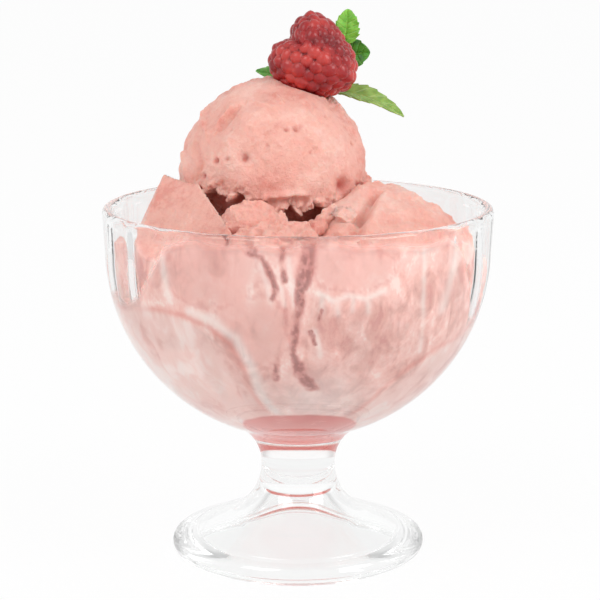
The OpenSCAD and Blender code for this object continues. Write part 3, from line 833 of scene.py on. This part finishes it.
co = worked(points_of(left), LEFT_AT, seed=31, big=0.25, small=0.1, torn=0.15)
co = pressed(co, LEFT_AT, LEFT_R, drips=1.6)
dressed(left, "scoop_left", co, frosted(co), np.zeros(len(co)))

# Right scoop: a rounded ball of ice cream, with folds where it rolled off the scoop and a flap along
# its crest. The folds are scored in, and the lump is pressed against the glass and its neighbours.
RIGHT_FOLDS = ([(14, -34, 106), (24, -33, 104), (34, -27, 99)],
               [(10, -38, 100), (20, -39, 97), (30, -34, 94)],
               [(24, -22, 109), (33, -18, 105), (40, -10, 100)])
RIGHT_MARKS = (([(-6.5, 13), (-3.2, 21), (0.6, 27)], 1.7, 3.2),
               ([(-2.6, 13), (0.6, 21), (3.4, 26.5)], 1.5, -1.3),
               ([(4, 20), (12, 22), (20, 19.5)], 1.2, -0.9),
               ([(3, 17.5), (12, 19), (21, 16.5)], 1.2, 1.1), ([(6, 25), (14, 24.4)], 0.9, 0.8))
right = squeezed(ball("scoop_right_ice_cream", RIGHT_AT, RIGHT_R, 6), RIGHT_AT)
bits = bits_round(RIGHT_AT, RIGHT_R * 1.04, count=44, low=-50, high=30, start=220, end=360, seed=4)
right = fused(right, bits, voxel=0.5)
co = worked(points_of(right), RIGHT_AT, seed=9, big=1.5, small=0.3, torn=0.6)
for fold in RIGHT_FOLDS:
    co = scored(co, RIGHT_AT, fold, wide=1.3, deep=1.6)
for path, wide, deep in RIGHT_MARKS:
    co = scored(co, RIGHT_AT, [spot(RIGHT_AT, RIGHT_R, *at) for at in path], wide, deep)
co = pressed(co, RIGHT_AT, RIGHT_R, drips=1.8)
dressed(right, "scoop_right", co, frosted(co), np.zeros(len(co)))

# Rear scoop: a ball of ice cream behind the others that carries the top scoop at the back. Only its
# back and top show, through the glass and over the rim.
rear = ball("scoop_rear_ice_cream", REAR_AT, REAR_R, 5)
bits = bits_round(REAR_AT, REAR_R, count=30, low=-30, high=50, start=20, end=180, seed=6)
rear = fused(rear, bits, voxel=0.6)
co = worked(points_of(rear), REAR_AT, seed=14, big=1.0, small=0.2, torn=0.4)
co = pressed(co, REAR_AT, REAR_R, drips=1.0)
dressed(rear, "scoop_rear", co, frosted(co), np.zeros(len(co)))

# Middle scoop: a small piece of ice cream broken off in front, wedged in the cleft between the left
# and right scoops, with two chunks and loose crumbs frozen on to its top.
SEAM_FALLS, SEAM_R, SEAM_TURN, SEAM_LEAN = (-6, 8, 20, 32, 40), 51, 273, 0.12
CRUMBS = 38
CHUNK_TOP_AT, CHUNK_TOP_N = np.array([-13, -33, 109.5]), (0.12, -0.3, 0.95)
CHUNK_HEART = np.array([-7, -30, 88])
TORN_WAY, TORN_HIGH = np.array([0.1, -0.5, 0.85]), 1.5
middle = squeezed(ball("scoop_middle_ice_cream", MIDDLE_AT, MIDDLE_R, 6), MIDDLE_AT)
bits = bits_round(MIDDLE_AT, MIDDLE_R, count=24, low=-60, high=30, start=180, end=360, seed=8)
middle = fused(middle, bits, voxel=0.5)
co = worked(points_of(middle), MIDDLE_AT, seed=21, big=1.4, small=0.3, torn=0.6)
seam = [BOWL_MIDDLE + SEAM_R * heading(SEAM_TURN - SEAM_LEAN * fall, -fall) for fall in SEAM_FALLS]
co = scored(co, MIDDLE_AT, seam, wide=3.2, deep=5)
set_points(middle, pressed(co, MIDDLE_AT, MIDDLE_R, drips=2.4))
crumbs = [torn_bit((-11.5, -33, 101), size=10.0, flat=0.85, turn=(0.25, 0.3, 0.3), cuts=5),
          torn_bit((-7.5, -33, 99.5), size=6.5, flat=0.9, turn=(0.4, 0.1, 1.2), cuts=4)]
chance = random.Random(17)
for _ in range(CRUMBS):
    crumb = np.array([chance.uniform(4, 13), chance.uniform(-35, -29.5), 0])
    crumb[2] = 99 + 0.6 * (crumb[0] - 2) + chance.uniform(-5, 3)
    crumbs.append(torn_bit(crumb, chance.uniform(1.0, 3.2), chance.uniform(0.45, 0.8),
                           any_turn(chance), cuts=2))
middle = fused(middle, crumbs, voxel=0.4)
co = sliced(points_of(middle), CHUNK_TOP_AT, CHUNK_TOP_N)
co = worked(co, CHUNK_HEART, seed=4, big=2.0, small=0.6, torn=0.9)
torn = np.clip(creased(co, 6, (2, 7, 2)) - 1.0, -0.6, 1) * eases(co[:, 2], 94, 99)
co = co + TORN_WAY * (TORN_HIGH * torn)[:, None]
out, far = off_wall(co)
co = co - out * np.maximum(far - WALL_R, 0)[:, None]
way, size = rays(co, TOP_AT)
co = TOP_AT + way * np.maximum(size, NEST_R + NEST_GAP)[:, None]
dressed(middle, "scoop_middle", co, frosted(co), np.zeros(len(co)))

# Top scoop: a smooth dome of ice cream with pits and fold marks, and a ragged hem where the scoop
# tore it off. It lies in the nest of the others and has a dent for the raspberry.
BERRY_AT, BERRY_R, BERRY_GAP = np.array([4.2, -1, 146.1]), 12.5, 0.15
HEM_BITS = 230
HEM = ((0, -6), (60, -14), (120, -9), (180, -12), (223, -2), (244, -4), (258, -8), (268, -14), (285, -14),
       (297, -10), (312, -14.5), (324, -13.5), (331, -8), (348, -6), (360, -6))
HEM_DROP, HEM_WAVES = 1.5, ((1.7, 13, 40), (1.5, 23, 110), (1.0, 41, 0))
TUCK, RAGGED = 5.5, 1.9
PIT_DROP, FOLD_DROP, FOLD_DEEPER = 1.7, 1.5, 1.7
PITS = ((-7.8, 4.2, 1.3, 2.4), (-6.6, 4.0, 0.8, 1.6), (-8.6, 3.8, 0.7, 1.4), (-15.7, 3.6, 0.9, 1.6),
        (-6.2, 12, 0.7, 1.2), (3.7, 11.8, 0.8, 1.4), (6.4, 11.9, 0.9, 1.8), (7.6, 12.6, 0.6, 1.2),
        (19.6, -3.1, 2.4, 2.2), (-14.6, -3.1, 1.0, 2.0), (22.2, 9, 0.6, 1.0), (-12.6, 3.8, 0.6, 1.0),
        (-11.6, 12.2, 0.6, 0.8), (10.5, 5.5, 0.5, 0.8), (-19.4, -0.6, 0.9, 1.4), (-1.4, 7.6, 0.5, 0.6),
        (14.5, 16.0, 0.5, 0.8))
FOLDS = (([(-6.2, 19.9), (-1, 18), (1.2, 16.5)], 0.9, -0.6), ([(-14.6, 13.2), (-11.2, 16.5)], 1.3, 1.2),
         ([(-15.2, 14.6), (-11.6, 18.2)], 0.9, -0.6), ([(-19.6, 17), (-19, 10.9)], 1.2, -0.7),
         ([(-17.4, 12), (-13, 14.5), (-9.5, 18.4)], 0.7, 0.7), ([(9, 18.8), (13.4, 13.7)], 0.7, 0.5),
         ([(-2.2, -7), (4, -6.2), (9, -5.9)], 0.9, -0.7), ([(-2.2, -9), (4, -8.2), (9, -8)], 1.1, 0.9),
         ([(-22, 9), (-20, 3), (-21, -2)], 1.1, 0.8), ([(1, 22), (2.4, 19.8)], 0.6, -0.9),
         ([(-24.5, 6), (-23.5, 0), (-21.5, -4)], 1.2, -0.9))
draw = random.Random(11)


def hem_rise(around):
    return np.interp(np.mod(around, 360), *zip(*HEM)) - HEM_DROP + waves(around, HEM_WAVES)


top = ball("scoop_top_ice_cream", TOP_AT, TOP_R, 6)
bits = []
for count in range(HEM_BITS):
    around = 360 * (count + draw.uniform(-0.4, 0.4)) / HEM_BITS
    way = heading(around, hem_rise(around) + draw.uniform(-7, 2.5))
    bits.append(torn_bit(TOP_AT + way * draw.uniform(25.2, 27.2), draw.uniform(0.8, 2.6),
                         draw.uniform(0.5, 0.9), any_turn(draw), cuts=2))
top = fused(top, bits, voxel=0.4)
co = worked(points_of(top), TOP_AT, seed=2, big=1.3, small=0.22, torn=0.4)
way, size = rays(co, TOP_AT)
tilt = np.degrees(np.arcsin(np.clip(way[:, 2], -1, 1)))
hem = hem_rise(np.degrees(np.arctan2(way[:, 1], way[:, 0])))
tuck = eases(hem - tilt, 1, 6) * (1 - eases(hem - tilt, 34, 46))
ragged = RAGGED * np.exp(-((tilt - hem + 2) / 7) ** 2) * swell(co, 2.0, 4, (1, 9, 4))
co = TOP_AT + way * (size - TUCK * tuck + ragged)[:, None]
# Painted shade under the tucked hem and in each pit, kept as a darker crevice colour.
crevice = 0.55 * tuck
for right_mm, up_mm, wide, deep in PITS:
    pit = [spot(TOP_AT, TOP_R, right_mm, up_mm - PIT_DROP)] * 2
    shadow = min(1, deep / 1.6) * np.exp(-(away_from(co, pit) / (wide * 0.9)) ** 2)
    crevice = np.maximum(crevice, shadow)
    co = scored(co, TOP_AT, pit, wide, deep)
for path, wide, deep in FOLDS:
    fold = [spot(TOP_AT, TOP_R, right_mm, up_mm - FOLD_DROP) for right_mm, up_mm in path]
    co = scored(co, TOP_AT, fold, wide, FOLD_DEEPER * deep)
way, size = rays(co, TOP_AT)
seat = to_ball(TOP_AT, way, BERRY_AT, BERRY_R + BERRY_GAP)
co = TOP_AT + way * np.minimum(np.minimum(size, NEST_R), seat)[:, None]
dressed(top, "scoop_top", co, np.zeros(len(co)), crevice)

# Raspberry: round drupelets packed on a hollow core, the open end up and back, the tip to the front.
# Its outline is drawn out to a blunt heart, and it lies in the dent in the top scoop.
BERRY_WAY = unit([0.55, -0.62, -0.5])
DRUPELET_R, CORE_R, DRUPELETS = 2.25, 9.8, 150
CORE_PROUD = 0.9
RELAX_STEPS, RELAX, RELAX_MOST = 70, 0.0009, 0.05
OPEN_END, OPEN_HALF = -0.86, 30
OUTLINE_START = -33
OUTLINE = ((-33, 14.2), (-13, 12.9), (27, 10.5), (60, 11.3), (93, 12.9), (120, 11.2), (143, 8.4),
           (163, 11.6), (188, 12.9), (227, 12.4), (251, 12.4), (281, 12.0), (305, 12.6), (327, 14.2))
RIPE_TONES = [(0.35, paint(126, 16, 22)), (0.5, paint(157, 30, 32)), (0.66, paint(188, 60, 54))]
# Painted shade in the hollows between the drupelets.
BERRY_DARK = paint(120, 10, 18)
spread = np.array([heading(draw.uniform(0, 360), math.degrees(math.asin(draw.uniform(-1, 1))))
                   for _ in range(DRUPELETS)])
for _ in range(RELAX_STEPS):
    apart = spread[:, None] - spread[None]
    push = (apart / (np.linalg.norm(apart, axis=2) + np.eye(DRUPELETS))[..., None] ** 4).sum(axis=1)
    push *= RELAX / np.maximum(1, RELAX * np.linalg.norm(push, axis=1) / RELAX_MOST)[:, None]
    spread += push
    spread /= np.linalg.norm(spread, axis=1)[:, None]
core = ball("raspberry_drupelets", BERRY_AT, CORE_R + CORE_PROUD, 4)
bits = []
for way in spread:
    if way @ BERRY_WAY > OPEN_END:
        bits.append(ball("drupelet", BERRY_AT + way * CORE_R, DRUPELET_R * draw.uniform(0.9, 1.08), 3))
berry = fused(core, bits, voxel=0.22)
way, size = rays(points_of(berry), BERRY_AT)
proud = np.clip((size - CORE_R - CORE_PROUD) / 1.1, 0, 1)
off_end = np.degrees(np.arccos(np.clip(-(way @ BERRY_WAY), -1, 1)))
hollowed = np.minimum(size, 3.5 + 6.5 * eases(off_end, 14, OPEN_HALF))
co = way * np.where(off_end < OPEN_HALF, hollowed, size)[:, None]
right_mm, up_mm, near_mm = co[:, 0], co @ LOOK_UP, co @ LOOK_BACK
swing = np.mod(np.degrees(np.arctan2(up_mm, right_mm)) - OUTLINE_START, 360) + OUTLINE_START
shape = np.interp(swing, *zip(*OUTLINE)) / (CORE_R + DRUPELET_R * 0.93)
shape = 1 + (shape - 1) * np.clip(np.hypot(right_mm, up_mm) / 6, 0, 1)
co = np.outer(right_mm * shape, [1, 0, 0]) + np.outer(up_mm * shape, LOOK_UP) + np.outer(near_mm, LOOK_BACK)
set_points(berry, BERRY_AT + co)
mark(berry, proud=proud)
bpy.ops.object.shade_smooth()

berry_skin = bpy.data.materials.new("raspberry_skin")
tree = cleared(berry_skin)
where = place_in(tree, "Object")
ripe = ramp(tree, cloudy(tree, where, 130, 3), RIPE_TONES)
# Painted shade: the core between the drupelets is darkened, and the proud drupelets keep the ripe reds.
crown = ramp(tree, marked(tree, "proud"), [(0.05, 0.0), (0.65, 1.0)])
down = bumped(tree, cloudy(tree, where, 1900), strength=0.25, deep=0.3)
shown(tree, wired(tree, "ShaderNodeBsdfPrincipled", {
    "Base Color": blend_colours(tree, crown, BERRY_DARK, ripe), "Subsurface Weight": 0.35,
    "Subsurface Scale": 0.0016, "Subsurface Radius": (1.0, 0.25, 0.2), "Roughness": 0.28, "Normal": down}))
berry.data.materials.clear()
berry.data.materials.append(berry_skin)
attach(berry, "garnish")
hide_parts("raspberry")

# Mint sprig: a short green stem stuck in the scoop behind the raspberry, with four toothed leaves.
# The stem is a tapered round stalk, and each leaf a thin blade with a rib and side veins.
SPRIG = [np.array([4.2, 9.2, 136.2]), BERRY_AT + np.array([3, 15.2, -3.5]),
         BERRY_AT + np.array([9, 11.3, 2.6])]
STEM_KNOTS, STALK_R, STALK_TAPER = 6, 0.75, 0.3
STEM_TONES = [(0.35, paint(88, 122, 44)), (0.65, paint(140, 168, 84))]
LEAF_ALONG, LEAF_ACROSS, BLADE_T = 96, 20, 0.4
VEINS, VEIN_SLANT = 6, 1.15


def along_stem(t):
    return (1 - t) ** 2 * SPRIG[0] + 2 * t * (1 - t) * SPRIG[1] + t * t * SPRIG[2]


bpy.ops.object.select_all(action="DESELECT")
bpy.ops.curve.primitive_bezier_curve_add()
stalk = bpy.context.object
stalk.name = "mint_stem_green"
spline = stalk.data.splines[0]
spline.bezier_points.add(STEM_KNOTS - len(spline.bezier_points))
for t, knot in zip(np.linspace(0, 1, STEM_KNOTS), spline.bezier_points):
    knot.co = Vector(along_stem(t)) * MM
    knot.handle_left_type = knot.handle_right_type = "AUTO"
    knot.radius = 1 - STALK_TAPER * t
stalk.data.bevel_depth = STALK_R * MM
stalk.data.bevel_resolution = 3
stalk.data.use_fill_caps = True
bpy.ops.object.convert(target="MESH")
stalk = bpy.context.object
bpy.ops.object.transform_apply(location=True, rotation=True, scale=True)

stem_skin = bpy.data.materials.new("mint_stem_skin")
tree = cleared(stem_skin)
ribs = cloudy(tree, place_in(tree, "Object"), 700)
shown(tree, wired(tree, "ShaderNodeBsdfPrincipled", {
    "Base Color": ramp(tree, ribs, STEM_TONES), "Roughness": 0.5}))
stalk.data.materials.append(stem_skin)
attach(stalk, "garnish")
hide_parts("mint_stem")


def leaf(name, node, root, way, face, length, width, curl, teeth, point, belly, dark, mid, pale):
    bpy.ops.object.select_all(action="DESELECT")
    bpy.ops.mesh.primitive_grid_add(x_subdivisions=LEAF_ALONG, y_subdivisions=LEAF_ACROSS, size=1)
    made = bpy.context.object
    made.name = name
    flat = points_of(made) * MM
    t, v = flat[:, 0] + 0.5, flat[:, 1] * 2
    way = unit(way)
    side = unit(np.cross(way, face))
    up = np.cross(side, way)
    saw = (t * teeth) % 1.0
    half = np.maximum(0.3, width / 2 * np.sin(np.pi * t ** belly) ** point * (0.9 + 0.15 * saw ** 1.3))
    half = np.where(t > 0.999, 0.05, half)
    vein = np.abs(((t * VEINS - np.abs(v) * VEIN_SLANT) % 1.0) - 0.5)
    bend = curl * (0.6 * t - 1.6 * t * t) + 0.28 * np.abs(v) * half
    furrows = 0.14 * np.exp(-(vein / 0.12) ** 2) * (1 - np.abs(v)) + 0.2 * np.exp(-(v * half / 0.35) ** 2)
    ruffle = 0.18 * np.abs(v) * np.sin(t * 17 + v * 2)
    rib_line = np.array(root) + way * (length * t * (1 - 0.05 * t))[:, None]
    set_points(made, rib_line + side * (v * half)[:, None] + up * (bend - furrows + ruffle)[:, None])
    thick = made.modifiers.new("blade", "SOLIDIFY")
    thick.thickness = BLADE_T * MM
    thick.offset = 0
    bpy.ops.object.modifier_apply(modifier="blade")
    bpy.ops.object.shade_smooth()
    finish = bpy.data.materials.new(name + "_skin")
    tree = cleared(finish)
    uv = add(tree, "ShaderNodeSeparateXYZ")
    put(tree, uv.inputs[0], place_in(tree, "UV"))
    off = maths(tree, "ABSOLUTE", maths(tree, "MULTIPLY_ADD", uv.outputs[1], 2.0, -1.0))
    wave = maths(tree, "FRACT", summed(tree, 0.0, (uv.outputs[0], VEINS), (off, -VEIN_SLANT)))
    lines = ramp(tree, maths(tree, "ABSOLUTE", maths(tree, "SUBTRACT", wave, 0.5)), [(0.0, 1.0), (0.16, 0.0)])
    rib = ramp(tree, off, [(0.0, 1.0), (0.12, 0.0)])
    net = maths(tree, "MAXIMUM", rib, maths(tree, "MULTIPLY", lines, 0.6))
    mottle = cloudy(tree, place_in(tree, "Object"), 420, 4)
    green = ramp(tree, mottle, [(0.35, dark), (0.65, mid)])
    shown(tree, wired(tree, "ShaderNodeBsdfPrincipled", {
        "Base Color": blend_colours(tree, maths(tree, "MULTIPLY", net, 0.7), green, pale), "Roughness": 0.42,
        "Subsurface Weight": 0.2, "Subsurface Scale": 0.001,
        "Normal": bumped(tree, maths(tree, "SUBTRACT", mottle, net), strength=0.5, deep=0.4)}))
    made.data.materials.append(finish)
    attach(made, "garnish")
    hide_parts(node)


leaf("mint_leaf_top_blade", "mint_leaf_top", along_stem(1) + [0.1, -0.1, 0.25],
     way=(0.12, -0.12, 1), face=(0.2, -1, 0), length=10.2, width=7.6, curl=0.8,
     teeth=6, point=0.5, belly=0.75, dark=paint(104, 176, 50),
     mid=paint(134, 200, 72), pale=paint(168, 220, 110))
leaf("mint_leaf_side_blade", "mint_leaf_side", along_stem(0.78) + [0.6, 1.1, -0.8],
     way=(0.8, -0.22, 0.12), face=(0.1, -1, 0.25), length=10, width=10, curl=0.6,
     teeth=5, point=0.6, belly=0.75, dark=paint(48, 112, 24),
     mid=paint(78, 148, 40), pale=paint(120, 180, 70))
leaf("mint_leaf_left_blade", "mint_leaf_left", SPRIG[0] + [-1, 0, 1.2],
     way=(-1, 0, 0.27), face=(0.1, -0.75, 0.6), length=16.5, width=6, curl=0.4,
     teeth=6, point=0.6, belly=0.75, dark=paint(84, 156, 60),
     mid=paint(112, 184, 84), pale=paint(160, 206, 120))
leaf("mint_leaf_right_blade", "mint_leaf_right", SPRIG[0] + [1, 0, -0.8],
     way=(1, -0.33, -0.02), face=(0, -0.42, 1), length=27, width=8.5, curl=6.5,
     teeth=9, point=0.75, belly=1.05, dark=paint(124, 160, 66),
     mid=paint(152, 184, 90), pale=paint(184, 206, 134))
